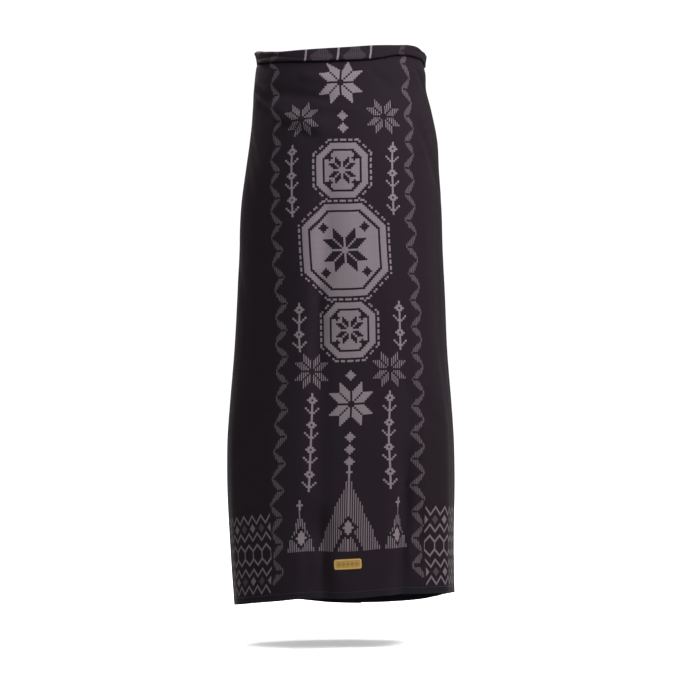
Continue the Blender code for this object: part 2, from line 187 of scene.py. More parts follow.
# The roll
ROLL_PITCH = 0.0013  # between the layers inside the roll
ROLL_THINNEST = 0.002
EDGE_STEP = 0.00135  # how far a fold's edge stands out on the roll
CURL_END = radians(-152)  # how far the outer layer turns under
HIDDEN_END = radians(12)  # where the layers inside it stop
LEFT_CURL = np.radians((250, 264))  # between these the outer wings go from one to the other
RIGHT_CURL = np.radians((96, 110))
ROLL_TWISTS = 17
ROLL_WRINKLE = 0.0009
WRINKLE_MOST = 0.001
ROLL_CREASES = table(  # lines along the roll, in degrees round the garment and round the roll's own section
    "angle turned end_angle end_turned half_width depth",
    (-86, -24, -38, 16, 13, 0.0011), (-66, 16, -6, -46, 11, 0.0014), (-30, -12, 24, 12, 12, 0.0007),
    (14, 60, 62, 26, 12, 0.0008), (52, -10, 88, 24, 13, 0.001), (98, 54, 158, 6, 14, 0.0012),
    (120, -26, 176, 14, 13, 0.0011), (150, 62, 212, 30, 12, 0.001), (186, -20, 236, 26, 14, 0.0012),
    (214, 58, 262, 4, 13, 0.0012),
)


def ease(share):
    share = np.clip(share, 0.0, 1.0)
    return share * share * (3.0 - 2.0 * share)


def ramp(value, limits):
    return ease((value - limits[0]) / (limits[1] - limits[0]))


def through(knots, values, at):
    """A smooth curve through the knots, which rise, read at each place in at."""
    knots, values, at = (np.asarray(a, float) for a in (knots, values, at))
    slopes = np.gradient(values, knots)
    at = np.clip(at, knots[0], knots[-1])
    i = np.clip(np.searchsorted(knots, at) - 1, 0, len(knots) - 2)
    step = knots[i + 1] - knots[i]
    t = (at - knots[i]) / step
    return (
        values[i] * (1 + 2 * t) * (1 - t) ** 2
        + values[i + 1] * t * t * (3 - 2 * t)
        + step * slopes[i] * t * (1 - t) ** 2
        - step * slopes[i + 1] * t * t * (1 - t)
    )


def section_size(name, height):
    """One column of the table of sections, read at these heights."""
    rising = SECTIONS[::-1]
    return through([row.height for row in rising], [getattr(row, name) for row in rising], height)


def round_size(rows, name, angle):
    """One column of a table whose rows go round the garment, read at these angles."""
    around = [row._replace(angle=row.angle - 360) for row in rows[-2:]] + rows
    around += [row._replace(angle=row.angle + 360) for row in rows[:2]]
    degrees = np.degrees(angle) % 360.0
    return through([row.angle for row in around], [getattr(row, name) for row in around], degrees)


def unit(vectors):
    return vectors / np.linalg.norm(vectors, axis=-1, keepdims=True)


def away_from(angle, middle):
    return (angle - middle + pi) % (2 * pi) - pi


def fold_depth(angle, height, half_width):
    """How far the large soft folds move the cloth outwards."""
    moved = np.zeros_like(angle)
    for fold in FOLDS:
        share = np.clip((fold.top - height) / (fold.top - fold.low), 0.0, 1.0)
        middle = np.radians(fold.top_angle + (fold.low_angle - fold.top_angle) * share)
        fades = ease((fold.top - height) / FOLD_FADE) * ease((height - fold.low) / FOLD_FADE)
        away = away_from(angle, middle) * half_width / fold.half_width
        moved += fold.depth * fades * np.exp(-(away**2))
    return moved


def crease_depth(angle, height):
    """The same for the short creases, each along a line across the cloth."""
    moved = np.zeros_like(angle)
    for crease in CREASES:
        start, end = radians(crease.angle), radians(crease.end_angle)
        across, up = away_from(angle, start) * CREASE_RADIUS, height - crease.height
        line = ((end - start) * CREASE_RADIUS, crease.end_height - crease.height)
        long = np.linalg.norm(line)
        along = (across * line[0] + up * line[1]) / long
        off = (across * line[1] - up * line[0]) / long
        wave = 1.0 + CREASE_UNEVEN * np.sin(along * CREASE_WAVES + crease.angle)
        fades = ease(along / (0.3 * long) + 0.5) * ease((long - along) / (0.45 * long) + 0.3)
        moved += crease.depth * fades * np.exp(-((off / (crease.half_width * wave)) ** 2))
    return moved


def slack(angle, height):
    """Small uneven waves, mostly upright, weaker over the taut back and towards the waist."""
    moved = np.zeros_like(angle)
    for wave in WAVES:
        lean = wave.lean * height + 0.6 * np.sin(wave.bend * height + wave.count)
        swell = 0.65 + 0.35 * np.sin(0.5 * wave.bend * height + 2.0 * angle + wave.lean)
        moved += wave.depth * swell * np.sin(wave.count * angle + lean)
    loose = 0.55 + 0.45 * ease((1.0 - np.cos(angle)) / 1.4)
    return moved * loose * (0.25 + 0.75 * ease(-height / 0.55)) * ease((-height - 0.012) / 0.1)


def rounded(value, squareness):
    return np.sign(value) * np.abs(value) ** (2.0 / squareness)


def plain_section(angle, height):
    """The layer next to the wearer, seen from above, before any fold."""
    half_width = section_size("half_width", height) - WALL / 2 - 2.0 * LAYER_PITCH
    back = section_size("back_depth", height) - WALL / 2
    front = section_size("front_depth", height) - WALL / 2 - 4.0 * LAYER_PITCH
    squareness = section_size("squareness", height)
    half_width = half_width + 0.5 * LAYER_PITCH * np.maximum(np.cos(angle), 0.0) ** 0.5
    x = section_size("centre_x", height) + half_width * rounded(np.sin(angle), squareness)
    depth = np.where(np.cos(angle) > 0, back, front)
    return np.stack([x, -depth * rounded(np.cos(angle), squareness)], axis=-1)


def normals(function, angle, height, step=0.004):
    """Unit normals, pointing out, of a section that function gives."""
    along = unit(function(angle + step, height) - function(angle - step, height))
    return np.stack([along[..., 1], -along[..., 0]], axis=-1)


def folded_section(angle, height):
    out = fold_depth(angle, height, section_size("half_width", height))
    out += crease_depth(angle, height) + slack(angle, height)
    return plain_section(angle, height) + normals(plain_section, angle, height) * out[..., None]


def place(angle, height, lift, shift=0.0):
    """Points outside the innermost layer by lift, moved along it by shift."""
    normal = normals(folded_section, angle, height)
    along = np.stack([-normal[..., 1], normal[..., 0]], axis=-1)
    lift, shift = np.expand_dims(lift, -1), np.expand_dims(shift, -1)
    flat = folded_section(angle, height) + normal * lift + along * shift
    return np.concatenate([flat, np.expand_dims(height, -1)], axis=-1)


def row_height(angle, share):
    """The height at this share of the way from the hem to the roll's middle."""
    low = round_size(HEM, "height", angle)
    return low + share * (round_size(ROLL, "middle", angle) - low)


def running_length(points, axis=0):
    """Distance along a line of points, or along a grid's rows or columns, from its first point."""
    step = np.linalg.norm(np.diff(points, axis=axis), axis=-1)
    start = np.zeros_like(np.take(step, [0], axis=axis))
    return np.concatenate([start, np.cumsum(step, axis=axis)], axis=axis)


Ring = namedtuple("Ring", "angle length height")


def ring_at(share):
    """Lengths round the innermost layer at this share of the way from the hem to the roll's middle."""
    angle = np.linspace(0.0, 2 * pi, DENSE + 1)
    height = row_height(angle, share)
    return Ring(angle, running_length(folded_section(angle, height)), height)


def wing_edges(ring):
    """Angles of the left and the right wing's free edge, and how far the left wing is held off."""
    right_start = np.interp(RIGHT_FOLD, ring.angle, ring.length)
    front = np.interp(LEFT_FOLD, ring.angle, ring.length) - right_start
    spare = (CLOTH_ROUND - OUTER_EXTRA - ring.length[-1]) / 2.0
    share = np.mean(section_size("wing_share", ring.height))
    left_wing = min(spare * share, front - TIP_MARGIN)
    right_wing = min(spare - left_wing, front - TIP_MARGIN)
    ends = right_start + np.array([front - left_wing, right_wing])
    left_edge, right_edge = np.interp(ends, ring.length, ring.angle)
    room = (front - right_wing) / FULL_STACK_SPAN
    return left_edge, right_edge, 1.0 - float(ease(room))


Run = namedtuple("Run", "angle layer shift curl inset droop")


def run(angle, layer, curl=0.0, inset=None, droop=0.0):
    """A stretch of the cloth's way round: each value is one number or one for each point."""
    inset = np.multiply(layer, ROLL_PITCH) if inset is None else inset
    return Run(*np.broadcast_arrays(angle, layer, 0.0, curl, inset, droop))


def turn(angle, start, end, way, curl=(0.0, 0.0), inset=None, droop=0.0):
    """Round a folded edge, from layer start to layer end, bulging along way."""
    across = np.linspace(0.0, pi, TURN_STEPS + 2)[1:-1]
    share = (1.0 - np.cos(across)) / 2.0
    layer = start + (end - start) * share
    shift = way * abs(end - start) / 2.0 * LAYER_PITCH * np.sin(across)
    inset = (start * ROLL_PITCH, end * ROLL_PITCH) if inset is None else inset
    mixed = (pair[0] + (pair[1] - pair[0]) * share for pair in (curl, inset))
    return Run(*np.broadcast_arrays(angle, layer, shift, *mixed, droop))


def cloth_path(ring):
    """The whole way round the tube at one height, from the middle of the front's innermost layer."""
    left_edge, right_edge, stacked = wing_edges(ring)

    def spread(start, end, steps):
        ends = np.interp((start, end), ring.angle, ring.length)
        return np.interp(np.linspace(*ends, steps + 1), ring.length, ring.angle)

    def drop(angle):
        """How far the left wing sinks beyond the right wing's edge, in layers."""
        return 2.0 * (1.0 - stacked) * ramp(angle, (right_edge, LEFT_FOLD))

    def droop(angle, edge, most):
        """How much lower the hem hangs near a wing's free edge."""
        far = np.abs(np.interp(angle, ring.angle, ring.length) - np.interp(edge, ring.angle, ring.length))
        return most * ease(1.0 - far / DROOP_SPAN)

    side = 2.0 + 2.0 * stacked
    under = spread(left_edge, LEFT_FOLD, HIDDEN_WING_STEPS)[::-1]
    outer_left = spread(left_edge, LEFT_FOLD, VISIBLE_WING_STEPS)
    left_back = spread(LEFT_FOLD, 2 * pi, BACK_STEPS)[1:-1]
    right_back = spread(0.0, RIGHT_FOLD, BACK_STEPS)[:-1]
    outer_right = spread(RIGHT_FOLD, right_edge, VISIBLE_WING_STEPS)
    inner_right = spread(RIGHT_FOLD, right_edge, HIDDEN_WING_STEPS)[::-1]
    left_layer = side * (1.0 - ramp(left_back, LEFT_RAMP))
    right_layer = 2.0 * ramp(right_back, RIGHT_RAMP)
    to_left = ramp(outer_left, LEFT_CURL)
    off_right = 1.0 - ramp(outer_right, RIGHT_CURL)
    left_inset = (4.0 - drop(outer_left)) * ROLL_PITCH * (1.0 - to_left) + EDGE_STEP * to_left
    right_inset = EDGE_STEP * off_right + 2.0 * ROLL_PITCH * (1.0 - off_right)
    left_droop = droop(outer_left, left_edge, LEFT_WING_DROOP)
    right_droop = droop(outer_right, right_edge, RIGHT_WING_DROOP)
    runs = (
        run(spread(pi, LEFT_FOLD, BASE_STEPS), 0.0, curl=1.0),
        turn(LEFT_FOLD, 0.0, side - 1.0, 1.0, curl=(1.0, 0.0), inset=(0.0, 3.0 * ROLL_PITCH)),
        run(under, 3.0 - drop(under), 0.0, 3.0 * ROLL_PITCH, droop(under, left_edge, LEFT_WING_DROOP)),
        turn(left_edge, 3.0, 4.0, -1.0, droop=LEFT_WING_DROOP),
        run(outer_left, 4.0 - drop(outer_left), to_left, left_inset, left_droop),
        run(left_back, left_layer, 1.0, EDGE_STEP * left_layer / side),
        run(right_back, right_layer, 1.0, EDGE_STEP * right_layer / 2.0),
        run(outer_right, 2.0, off_right, right_inset, right_droop),
        turn(right_edge, 2.0, 1.0, 1.0, droop=RIGHT_WING_DROOP),
        run(inner_right, 1.0, droop=droop(inner_right, right_edge, RIGHT_WING_DROOP)),
        turn(RIGHT_FOLD, 1.0, 0.0, -1.0, curl=(0.0, 1.0)),
        run(spread(RIGHT_FOLD, pi, BASE_STEPS)[:-1], 0.0, curl=1.0),
    )
    return Run(*(np.concatenate(column) for column in zip(*runs)))


def wall_shares():
    """Rows from the hem to the roll's middle, close together at the turned-up foot and near the waist."""
    near_hem = np.array(HEM_ROWS) / CLOTH_HEIGHT
    low = np.linspace(LOW_START / CLOTH_HEIGHT, HIGH_START, LOW_ROWS, endpoint=False)
    return np.concatenate([near_hem, low, np.linspace(HIGH_START, 1.0, HIGH_ROWS)])


def roll_creased(angle, turned):
    """How far the roll's creases sink at one place round its section."""
    sunk = np.zeros_like(angle)
    for crease in ROLL_CREASES:
        span = radians(crease.end_angle - crease.angle)
        share = away_from(angle, radians(crease.angle)) / span
        off = (turned - crease.turned - (crease.end_turned - crease.turned) * share) / crease.half_width
        sunk += crease.depth * ease(share * 4.0) * ease((1.0 - share) * 4.0) * np.exp(-(off**2))
    return sunk


def roll_rows(path):
    """Points of the rows that go over the top, down the outside and under, for one path."""
    angle, layer = path.angle, path.layer
    sizes = ("middle", "half_height", "half_thickness", "lean")
    middle, half_height, half_thick, lean = (round_size(ROLL, name, angle) for name in sizes)
    front = ramp(angle, ROLL_RISE) * (1.0 - ramp(angle, ROLL_FALL))
    stack = 4.0 * front
    pulled = ROLL_WRINKLE * (0.45 + 0.55 * front)
    inside = layer * LAYER_PITCH
    outside = stack * LAYER_PITCH + ROLL_GAP + 2.0 * half_thick - path.inset
    own = np.where(path.inset < EDGE_STEP * 1.01, np.minimum(stack, np.maximum(layer, 0.0)), stack)
    covered = (angle > RIGHT_FOLD) & (angle < LEFT_FOLD)
    lower = np.where(covered, stack, own) * LAYER_PITCH + WALL + ROLL_GAP
    lower = np.minimum(lower, outside - ROLL_THINNEST)
    top = middle + half_height - WALL / 2 - path.inset
    bottom = middle - half_height + WALL / 2 + path.inset
    end = HIDDEN_END + (CURL_END - HIDDEN_END) * path.curl
    rows = []
    for share in np.linspace(0.0, 1.0, ROLL_ROWS + 1)[1:]:
        theta = pi + (end - pi) * share
        c, s = rounded(np.cos(theta), ROLL_SQUARENESS), rounded(np.sin(theta), ROLL_SQUARENESS)
        upper = (inside + outside) / 2 + (outside - inside) / 2 * c
        under = (lower + outside) / 2 + (outside - lower) / 2 * c
        twist = np.sin(ROLL_TWISTS * angle + 2.0 * theta + 1.6 * np.sin(5.0 * angle))
        twist = twist + 0.5 * np.sin(1.7 * ROLL_TWISTS * angle - 1.3 * theta + 1.1 * np.sin(3.0 * angle))
        fine = pulled * twist * np.clip(np.sin((pi - theta) * 0.9), 0.0, 1.0)
        lift = np.where(s >= 0, upper, under) - np.clip(fine, -WRINKLE_MOST, WRINKLE_MOST)
        lift += half_thick * (1.0 + c) * lean * np.clip(s, -0.8, 1.0)
        lift -= roll_creased(angle, np.degrees(theta))
        height = middle + np.where(s >= 0, top - middle, middle - bottom) * s
        rows.append(place(angle, height, lift, path.shift))
    return rows


def cloth_grid():
    """Points of the whole sheet, its rows from the hem to the end inside the roll."""
    rows = []
    for share in wall_shares():
        path = cloth_path(ring_at(share))
        height = row_height(path.angle, share) - path.droop * (1.0 - share) ** 3
        rows.append(place(path.angle, height, path.layer * LAYER_PITCH, path.shift))
    rows += roll_rows(path)
    return np.array(rows)


# ---- the woven pattern
CELL = 0.00175  # a light or a dark line of a striped motif
STEP = 0.0035  # the motifs' outlines go in steps of this
CENTRE_DRIFT = (  # height of the cloth, and how far the panel's middle lies to the right of the back's
    (-0.02, -0.0062), (-0.032, 0.0006), (-0.187, -0.001), (-0.322, 0.0064), (-0.457, 0.0148),
    (-0.593, 0.018), (-0.762, 0.0122), (-0.914, 0.007),
)
GATHERED = (  # height of the cloth, and what its deep folds leave of the width, to the left and to the right
    (-0.4, 1.0, 1.0), (-0.48, 0.975, 1.0), (-0.56, 1.0, 1.0), (-0.66, 1.0, 1.0),
    (-0.72, 0.985, 0.94), (-0.76, 0.97, 0.92), (-0.81, 0.966, 0.928),
)
SLANT = ((-0.12, 0.003), (0.12, 0.012))  # across the back, and the share by which the cloth there is longer

RIBBON_MIDDLE = 0.122  # from the panel's middle
RIBBON_PERIOD = 0.0457
RIBBON_START = 0.049
RIBBON_SWING = 0.0094
RIBBON_THIN = 0.0012
RIBBON_LEAF = 0.0045
RIBBON_NOTCH = (-0.84, -0.002)
RIBBON_FOOT = 0.029
RIBBON_TOP = (0.6, 0.7, 0.25)  # above this height it narrows by so much in a metre, for this far
RIBBON_LOW_PART = (0.22, 1.6, 0.75)  # below this height it narrows by so much in a metre, to this share
ON_ROLL = 0.945  # from here up the pattern is on the roll's outside
ROLL_FADE = 0.55  # and the ribbon is fainter by this share

BAND_START = 0.1325  # from the panel's middle
BAND_HALF_PERIOD = 0.00875
BAND_MIDDLE = 0.0823
BAND_STROKE = 0.0024
BAND_LOZENGE = (0.0056, 0.008)
BAND_LOZENGE_AT = 0.045
BAND_BAR = 0.0065  # half height of the upright strokes in the middle row
BAND_BAR_WIDTH = 0.12
BAND_HALF_HEIGHT = 0.078
BAND_LINES = table("low rise", (0.0065, 0.0107), (0.024, 0.0127), (0.0665, -0.0135))

# The panel's own design, places and sizes in steps from its middle and from the hem
FOOT_LINE = 23
FOOT = table("x half_width height eye", (0, 15, 36, 34), (23, 7, 20, 29))
FOOT_NEST = 10  # from one nested triangle to the next
LIGHT_STARS = table("x y size", (0, 94, 11), (0, 252, 11))
DIM_STARS = table("x y size", (19, 110, 9), (20, 234, 9))
ROLL_GEMS = table("x y half_width half_height", (8, 275.5, 5.5, 7.5))  # between the stems on the roll
MEDALLIONS = table(
    "y half_width half_height corner star", (130, 12, 13, 19, 7), (169, 20, 22, 31, 12), (208, 12, 13, 19, 7)
)
STRANDS = table("x low high", (25, 186, 222), (25, 120, 144), (19, 52, 100))
STRAND_REPEAT = 12
STEMS = table("x low high", (0, 268, 300), (16, 268, 300))
CHAINS = table("x low high", (0, 64, 82), (0, 106, 112), (0, 227, 239))
CHAIN_REPEAT = 6


def by_node(operation):
    """A method that works out a field by one Math node."""
    return lambda field, *others: field.math(operation, *others)


class Field:
    """A number that differs over the surface, worked out by Math nodes."""

    def __init__(self, tree, socket):
        self.tree = tree
        self.socket = socket

    def math(self, operation, *others):
        node = self.tree.nodes.new("ShaderNodeMath")
        node.operation = operation
        for slot, value in zip(node.inputs, (self, *others)):
            if isinstance(value, Field):
                self.tree.links.new(value.socket, slot)
            else:
                slot.default_value = value
        return Field(self.tree, node.outputs[0])

    __add__ = by_node("ADD")
    __sub__ = by_node("SUBTRACT")
    __mul__ = by_node("MULTIPLY")
    __truediv__ = by_node("DIVIDE")
    __mod__ = by_node("FLOORED_MODULO")
    __lt__ = by_node("LESS_THAN")
    __gt__ = by_node("GREATER_THAN")
    __and__ = by_node("MULTIPLY")
    __or__ = by_node("MAXIMUM")
    __abs__ = by_node("ABSOLUTE")
    lesser = by_node("MINIMUM")
    floor = by_node("FLOOR")
    sine = by_node("SINE")
    root = by_node("SQRT")

    def __invert__(self):
        return self < 0.5

    def wave(self, half_period):
        """0 at the whole periods and 1 half way between them."""
        return self.math("PINGPONG", half_period) / half_period

    def from_nearest(self, period):
        """How far past the nearest whole period."""
        return (self + period / 2) % period - period / 2

    def within(self, low, high):
        return (self > low) & (self < high)

    def in_rows(self, made):
        """Between the lowest and the highest step of what is made."""
        return self.within(made.low - 0.5, made.high - 0.5)


def lozenge(x, y, half_width, half_height):
    return abs(x) / half_width + abs(y) / half_height < 1.0


def star(x, y, size):
    """An eight-pointed star of eight leaning petals with dark lines between them."""
    a, b = abs(x), abs(y)
    most, least = a | b, a.lesser(b)
    lean = most - least
    return (lean < size / 2) & (least < size / 2) & (least > 0.5) & (lean > 0.5)


def medallion(x, y, made):
    """An eight-sided plate with a dark line inside its edge, a dark star and a dashed outline."""
    a, b = abs(x), abs(y - made.y)
    out = (a - made.half_width) | (b - made.half_height) | ((a + b - made.corner) * 0.7)
    plate = (out < 0.4) & ~out.within(-3.6, -2.4)
    dashes = out.within(1.5, 2.6) & (((b * 2.0 + a) % 3.0) < 1.5)
    middle = a + b < 1.5
    eye = 1.2 + 0.1 * made.star
    eyes = lozenge(a - round(made.half_width * 0.5), b - round(made.half_height * 0.48), eye, eye)
    return (plate & ~(star(a, b, made.star) | eyes)) | dashes | middle


def strand(x, y, made):
    """A stem with small hollow lozenges and pairs of leaves that point upwards."""
    a = abs(x - made.x)
    step = (y - made.low) % STRAND_REPEAT
    bead = (a + abs(step - 8.0)).within(0.5, 2.5)
    leaf = (abs(step - a - 1.0) < 0.5) & a.within(0.5, 3.5)
    stem = (a < 0.5) & (abs(step - 8.0) > 1.5)
    return (bead | leaf | stem) & y.in_rows(made)


def chain(x, y, made):
    step = (y - made.low) % CHAIN_REPEAT
    return (abs(x - made.x) + abs(step - 2.0) < 2.5) & y.in_rows(made)


def triangle(x, y, made):
    """A stepped triangle on the foot line, with dark lines that follow its sides, round a light eye."""
    a = abs(x - made.x)
    level = ((y - FOOT_LINE) / 2.0).floor() * 2.0
    slope = made.half_width / made.height
    inside = a * -1.0 - level * slope + made.half_width
    nest = ((inside + 1.0) % FOOT_NEST) > 1.5
    eye = lozenge(a, y - made.eye, 4.2, 5.6)
    return (inside > 0.0) & (level > -1.0) & nest & ~eye


def ribbon(across, v):
    """The leaf zigzag beside the panel: leaves thin at the outer turns, with a notch at the inner ones."""
    swing = (v - RIBBON_START).wave(RIBBON_PERIOD / 2) * 2.0 - 1.0
    start, rate, most = RIBBON_TOP
    narrowed = ((v - start) | 0.0).lesser(most) * -rate + 1.0
    start, rate, least = RIBBON_LOW_PART
    narrowed = narrowed.lesser(((v - start) * rate + 1.0) | least)
    off = across - RIBBON_MIDDLE - swing * narrowed * RIBBON_SWING
    leaf = (swing * -1.0 + 1.0).lesser((swing + 1.25) * 2.2).lesser(1.0)
    notch = (swing < RIBBON_NOTCH[0]) & (off > RIBBON_NOTCH[1])
    return (abs(off) < leaf * RIBBON_LEAF + RIBBON_THIN) & ~notch & (v > RIBBON_FOOT)


def hem_band(across, v):
    """The border beside the panel's foot: its strokes, its light and its dim lozenges."""
    x = across - BAND_START
    t = x.wave(BAND_HALF_PERIOD)
    w = abs(v - BAND_MIDDLE)
    strokes = (t < BAND_BAR_WIDTH) & (w < BAND_BAR + BAND_STROKE)
    for line in BAND_LINES:
        strokes = strokes | (abs(w - t * line.rise - line.low) < BAND_STROKE)
    gems = lozenge(x.from_nearest(2 * BAND_HALF_PERIOD), w - BAND_LOZENGE_AT, *BAND_LOZENGE)
    light = ((x + BAND_HALF_PERIOD) % (4 * BAND_HALF_PERIOD)) < 2 * BAND_HALF_PERIOD
    place = x > 0.0
    return strokes & place, gems & light & place, gems & ~light & place


def any_of(masks):
    return functools.reduce(Field.__or__, masks)


def motif_amount(u, v):
    """How much of the light thread shows: all of it, every other line of it, or a little."""
    across = abs(u)
    x = (across / STEP + 0.5).floor()
    y = (v / STEP).floor()
    line = (across / CELL).floor()
    stripe = (line % 2.0) < 0.5
    light = any_of(
        [star(x - s.x, y - s.y, s.size) for s in LIGHT_STARS]
        + [medallion(x, y, m) for m in MEDALLIONS]
        + [strand(x, y, s) for s in STRANDS]
        + [chain(x, y, c) for c in CHAINS]
        + [(abs(x - s.x) < 0.5) & y.in_rows(s) for s in STEMS]
        + [lozenge(x - t.x, y - t.eye, 2.6, 3.6) for t in FOOT]
        + [lozenge(x - t.x, y - FOOT_LINE - t.height - 2.0, 1.6, 2.6) for t in FOOT]
    )
    dim = any_of(
        [star(x - s.x, y - s.y, s.size) for s in DIM_STARS]
        + [triangle(x, y, t) for t in FOOT]
    )
    leaves = any_of(
        [ribbon((line + 0.5) * CELL, (y + 0.5) * STEP)]
        + [lozenge(x - g.x, y - g.y, g.half_width, g.half_height) for g in ROLL_GEMS]
    )
    strokes, light_gems, dim_gems = hem_band(across, v)
    fainter = (v > ON_ROLL) * -ROLL_FADE + 1.0
    faint = dim_gems * DIM_GEM + leaves * (stripe * RIBBON_STRIPE + RIBBON_LOW) * fainter
    return light | ((strokes | light_gems) * BAND_AMOUNT) | ((dim & stripe) * HALF_AMOUNT) | faint


# ---- materials
BLACK = (0.0, 0.0, 0.0)
WHITE = (1.0, 1.0, 1.0)
GROUND = (0.008, 0.0057, 0.0074)
PANEL_GROUND = (0.0084, 0.0061, 0.0081)
HEM_GROUND = (0.0072, 0.0062, 0.0084)
MOTIF = (0.107, 0.091, 0.099)
DIM_GEM = 0.24  # how much of the light thread a dim lozenge shows
HALF_AMOUNT = 0.85  # the same in a striped motif's light lines
RIBBON_LOW = 0.17  # and in the ribbons, between their light lines
RIBBON_STRIPE = 0.26
BAND_AMOUNT = 0.74  # and in the hem's border
BAND_SHADE = 0.06  # how much darker the ground of the border is
BLACK_THREAD = (0.012, 0.009, 0.012)
THREAD = 0.0009  # from one thread of the weave to the next
WARP_STREAKS = (1400.0, 9.0)  # noise to the metre, across and up
WEFT_STREAKS = (7.0, 1200.0)
GOLD = (0.228, 0.141, 0.0285)
GOLD_EDGE = (0.29, 0.195, 0.052)
GOLD_DARK = (0.06, 0.028, 0.006)
GOLD_THREAD = (0.26, 0.17, 0.055)
GOLD_STREAKS = (120.0, 420.0)
SATIN_RIB = 0.0011


class Nodes:
    """Adds nodes to the tree of a material or of the world, and links them."""

    def __init__(self, owner, shader="Principled BSDF"):
        owner.use_nodes = True
        self.owner = owner
        self.tree = owner.node_tree
        self.shader = self.tree.nodes[shader]

    def fill(self, node, inputs):
        """Gives inputs of a node a link, a colour or a value."""
        for name, value in inputs.items():
            socket = node.inputs[name]
            value = value.socket if isinstance(value, Field) else value
            if isinstance(value, bpy.types.NodeSocket):
                self.tree.links.new(value, socket)
            else:
                socket.default_value = (*value, 1.0) if socket.type == "RGBA" else value

    def add(self, kind, inputs, **settings):
        node = self.tree.nodes.new(kind)
        for name, value in settings.items():
            setattr(node, name, value)
        self.fill(node, inputs)
        return node

    def field(self, kind, output, inputs):
        return Field(self.tree, self.add(kind, inputs).outputs[output])

    def place(self, uv_name):
        """A flat place on the surface: the whole of it, and its two numbers."""
        whole = self.add("ShaderNodeUVMap", {}, uv_map=uv_name).outputs["UV"]
        return whole, *self.parts(whole, "XY")

    def parts(self, vector, names):
        apart = self.add("ShaderNodeSeparateXYZ", {"Vector": vector})
        return [Field(self.tree, apart.outputs[name]) for name in names]

    def noise(self, vector, scale, detail=2.0):
        return self.field("ShaderNodeTexNoise", "Fac", {"Vector": vector, "Scale": scale, "Detail": detail})

    def streaks(self, vector, scale):
        stretched = self.add("ShaderNodeMapping", {"Vector": vector, "Scale": (*scale, 1.0)})
        return self.noise(stretched.outputs["Vector"], 1.0)

    def mix(self, amount, first, second):
        inputs = {"Factor": amount, 6: first, 7: second}
        return self.add("ShaderNodeMix", inputs, data_type="RGBA").outputs[2]

    def bump(self, height, distance, strength):
        inputs = {"Height": height, "Distance": distance, "Strength": strength}
        return self.add("ShaderNodeBump", inputs).outputs["Normal"]

    def finish(self, inputs):
        self.fill(self.shader, inputs)
        return self.owner


def darker(colour, share):
    return tuple(share * part for part in colour)


def cloth_material():
    make = Nodes(bpy.data.materials.new("sarong_cotton"))
    place, u, v = make.place("cloth")
    amount = motif_amount(u, v)

    # Slubs: some warp and weft threads are a little lighter, and the dye is a little uneven.
    slubs = (make.streaks(place, WARP_STREAKS) + make.streaks(place, WEFT_STREAKS)) * 0.5
    patches = make.noise(place, 14.0, 4.0)
    bordered = (abs(u) > BAND_START) & (abs(v - BAND_MIDDLE) < BAND_HALF_HEIGHT)
    shade = (slubs * 0.5 + patches * 0.3 + 0.6) * (bordered * -BAND_SHADE + 1.0)
    ground = make.mix(v < HEM_BAND, make.mix(abs(u) < RIBBON_MIDDLE, GROUND, PANEL_GROUND), HEM_GROUND)
    ground = make.mix(shade, BLACK, ground)
    light = make.mix(slubs * 0.7 + 0.62, BLACK, MOTIF)
    crossed = (u * (pi / THREAD)).sine() * (v * (pi / THREAD)).sine()
    relief = crossed * 0.5 + amount * 0.9 + slubs * 0.6
    return make.finish({
        "Base Color": make.mix(amount, ground, light),
        "Normal": make.bump(relief, 0.00022, 0.55),
        "Roughness": patches * 0.12 + 0.72,
        "Specular IOR Level": 0.03,
        "Sheen Weight": 0.006,
        "Sheen Roughness": 0.45,
        "Sheen Tint": (0.86, 0.78, 0.86),
    })


def label_material():
    make = Nodes(bpy.data.materials.new("gold_label_satin"))
    place, x, y = make.place("label")
    # The lighter line runs just inside the edge; its corners are as round as the label's.
    line = LABEL_HEIGHT / 2 - LABEL_LINE_INSET
    corner = LABEL_CORNER - LABEL_LINE_INSET
    a = (abs(x) - (LABEL_WIDTH / 2 - LABEL_CORNER)) | 0.0
    b = (abs(y) - (line - corner)) | 0.0
    on_line = abs((a * a + b * b).root() - corner) < LABEL_LINE_WIDTH / 2
    satin = ((x * 0.5 + y) * (2 * pi / SATIN_RIB)).sine() * 0.5 + 0.5
    cloudy = make.streaks(place, GOLD_STREAKS)
    near = x.from_nearest(LABEL_MARK_REPEAT)
    marks = lozenge(near, y, *LABEL_MARK) & ~lozenge(near, y, *LABEL_MARK_HOLE)
    marks = marks & (abs(x) < LABEL_MARK_REPEAT * LABEL_MARKS / 2)
    field = make.mix(satin * 0.35 + cloudy * 0.5, darker(GOLD, 0.62), GOLD)
    field = make.mix(marks * 0.8, field, GOLD_DARK)
    return make.finish({
        "Base Color": make.mix(on_line, field, GOLD_EDGE),
        "Normal": make.bump(satin * 0.6 + on_line * 1.4, 0.00018, 0.7),
        "Roughness": cloudy * 0.15 + 0.38,
        "Metallic": 0.25,
        "Specular IOR Level": 0.2,
    })


def thread_material(name, colour):
    make = Nodes(bpy.data.materials.new(name))
    place = make.add("ShaderNodeTexCoord", {}).outputs["Object"]
    strands = make.field("ShaderNodeTexWave", "Fac", {"Vector": place, "Scale": 900.0, "Distortion": 1.0})
    return make.finish({
        "Base Color": make.mix(strands, darker(colour, 0.6), colour),
        "Normal": make.bump(strands, 0.0001, 0.5),
        "Roughness": strands * -0.15 + 0.62,
        "Specular IOR Level": 0.3,
    })


